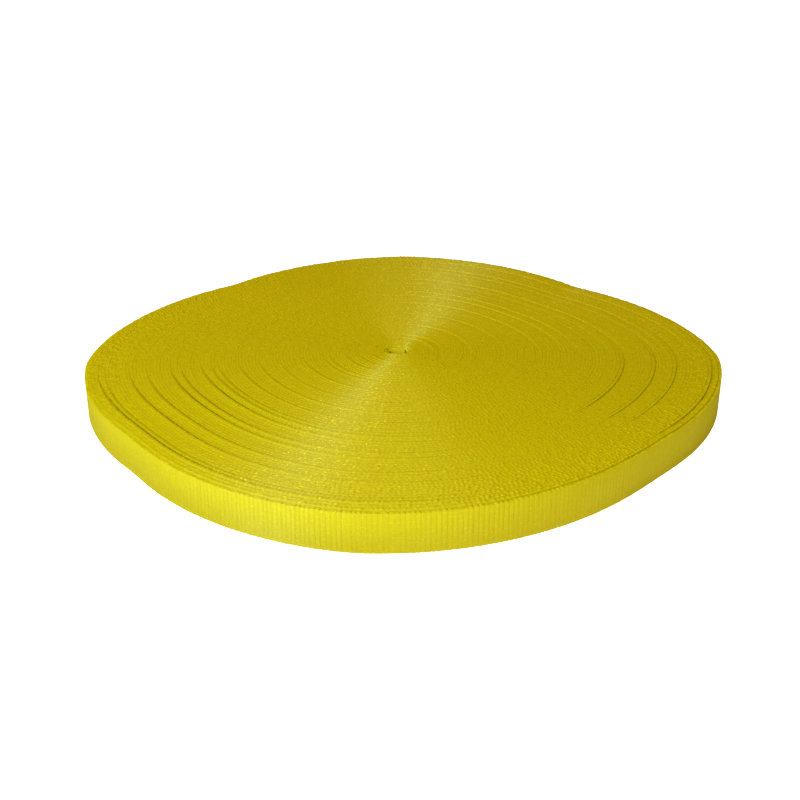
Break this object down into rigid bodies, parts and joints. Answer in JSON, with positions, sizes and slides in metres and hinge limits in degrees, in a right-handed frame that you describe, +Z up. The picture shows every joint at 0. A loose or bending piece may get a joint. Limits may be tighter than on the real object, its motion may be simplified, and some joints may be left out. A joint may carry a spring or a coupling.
{
  "type": "roll of flat webbing",
  "caption": "Flat spiral roll of plain ribbed webbing lying on its side, wound without a core, its outer end taped down.",
  "frame": {"origin": "middle of the roll's footprint, on the face it rests on", "axes": "+Z up along the winding axis; +X to the right and +Y to the back when the outer end is at the back"},
  "size_m": [0.3514, 0.3488, 0.02],
  "materials": {
    "webbing": "ribbed weave with a slight sheen",
    "tape": "clear adhesive tape"
  },
  "bodies": {
    "rim": {"wound_turns_14": "webbing"},
    "turns_13": {"wound_turns_13": "webbing"},
    "turns_12": {"wound_turns_12": "webbing"},
    "turns_11": {"wound_turns_11": "webbing"},
    "turns_10": {"wound_turns_10": "webbing"},
    "turns_09": {"wound_turns_09": "webbing"},
    "turns_08": {"wound_turns_08": "webbing"},
    "turns_07": {"wound_turns_07": "webbing"},
    "turns_06": {"wound_turns_06": "webbing"},
    "turns_05": {"wound_turns_05": "webbing"},
    "turns_04": {"wound_turns_04": "webbing"},
    "turns_03": {"wound_turns_03": "webbing"},
    "turns_02": {"wound_turns_02": "webbing"},
    "turns_01": {"wound_turns_01": "webbing"},
    "centre": {"centre_start": "webbing"},
    "end_1": {"end_stretch_1": "webbing"},
    "end_2": {"end_stretch_2": "webbing"},
    "end_3": {"end_stretch_3": "webbing"},
    "end_4": {"end_stretch_4": "webbing", "end_tape": "tape"}
  },
  "joints": [
    {"name": "telescope_13", "type": "slide", "parent": "rim", "child": "turns_13", "axis": [0, 0, 1], "range_m": [0, 0.005]},
    {"name": "telescope_12", "type": "slide", "parent": "turns_13", "child": "turns_12", "axis": [0, 0, 1], "range_m": [0, 0.005]},
    {"name": "telescope_11", "type": "slide", "parent": "turns_12", "child": "turns_11", "axis": [0, 0, 1], "range_m": [0, 0.005]},
    {"name": "telescope_10", "type": "slide", "parent": "turns_11", "child": "turns_10", "axis": [0, 0, 1], "range_m": [0, 0.005]},
    {"name": "telescope_09", "type": "slide", "parent": "turns_10", "child": "turns_09", "axis": [0, 0, 1], "range_m": [0, 0.005]},
    {"name": "telescope_08", "type": "slide", "parent": "turns_09", "child": "turns_08", "axis": [0, 0, 1], "range_m": [0, 0.005]},
    {"name": "telescope_07", "type": "slide", "parent": "turns_08", "child": "turns_07", "axis": [0, 0, 1], "range_m": [0, 0.005]},
    {"name": "telescope_06", "type": "slide", "parent": "turns_07", "child": "turns_06", "axis": [0, 0, 1], "range_m": [0, 0.005]},
    {"name": "telescope_05", "type": "slide", "parent": "turns_06", "child": "turns_05", "axis": [0, 0, 1], "range_m": [0, 0.005]},
    {"name": "telescope_04", "type": "slide", "parent": "turns_05", "child": "turns_04", "axis": [0, 0, 1], "range_m": [0, 0.005]},
    {"name": "telescope_03", "type": "slide", "parent": "turns_04", "child": "turns_03", "axis": [0, 0, 1], "range_m": [0, 0.005]},
    {"name": "telescope_02", "type": "slide", "parent": "turns_03", "child": "turns_02", "axis": [0, 0, 1], "range_m": [0, 0.005]},
    {"name": "telescope_01", "type": "slide", "parent": "turns_02", "child": "turns_01", "axis": [0, 0, 1], "range_m": [0, 0.005]},
    {"name": "centre_pull", "type": "slide", "parent": "turns_01", "child": "centre", "axis": [0, 0, 1], "range_m": [0, 0.01]},
    {"name": "peel_1", "type": "hinge", "parent": "rim", "child": "end_1", "pos_m": [0.08574, 0.13983, 0.01], "axis": [0, 0, -1], "range_deg": [0, 30]},
    {"name": "peel_2", "type": "hinge", "parent": "end_1", "child": "end_2", "pos_m": [0.05681, 0.15909, 0.01], "axis": [0, 0, -1], "range_deg": [0, 30]},
    {"name": "peel_3", "type": "hinge", "parent": "end_2", "child": "end_3", "pos_m": [0.02354, 0.17142, 0.01], "axis": [0, 0, -1], "range_deg": [0, 30]},
    {"name": "peel_4", "type": "hinge", "parent": "end_3", "child": "end_4", "pos_m": [-0.01209, 0.17335, 0.01], "axis": [0, 0, -1], "range_deg": [0, 30]}
  ],
  "couplings": [
    {"joint": "telescope_12", "follows": "telescope_13", "ratio": 1},
    {"joint": "telescope_11", "follows": "telescope_13", "ratio": 1},
    {"joint": "telescope_10", "follows": "telescope_13", "ratio": 1},
    {"joint": "telescope_09", "follows": "telescope_13", "ratio": 1},
    {"joint": "telescope_08", "follows": "telescope_13", "ratio": 1},
    {"joint": "telescope_07", "follows": "telescope_13", "ratio": 1},
    {"joint": "telescope_06", "follows": "telescope_13", "ratio": 1},
    {"joint": "telescope_05", "follows": "telescope_13", "ratio": 1},
    {"joint": "telescope_04", "follows": "telescope_13", "ratio": 1},
    {"joint": "telescope_03", "follows": "telescope_13", "ratio": 1},
    {"joint": "telescope_02", "follows": "telescope_13", "ratio": 1},
    {"joint": "telescope_01", "follows": "telescope_13", "ratio": 1},
    {"joint": "peel_2", "follows": "peel_1", "ratio": 1},
    {"joint": "peel_3", "follows": "peel_1", "ratio": 1},
    {"joint": "peel_4", "follows": "peel_1", "ratio": 1}
  ]
}
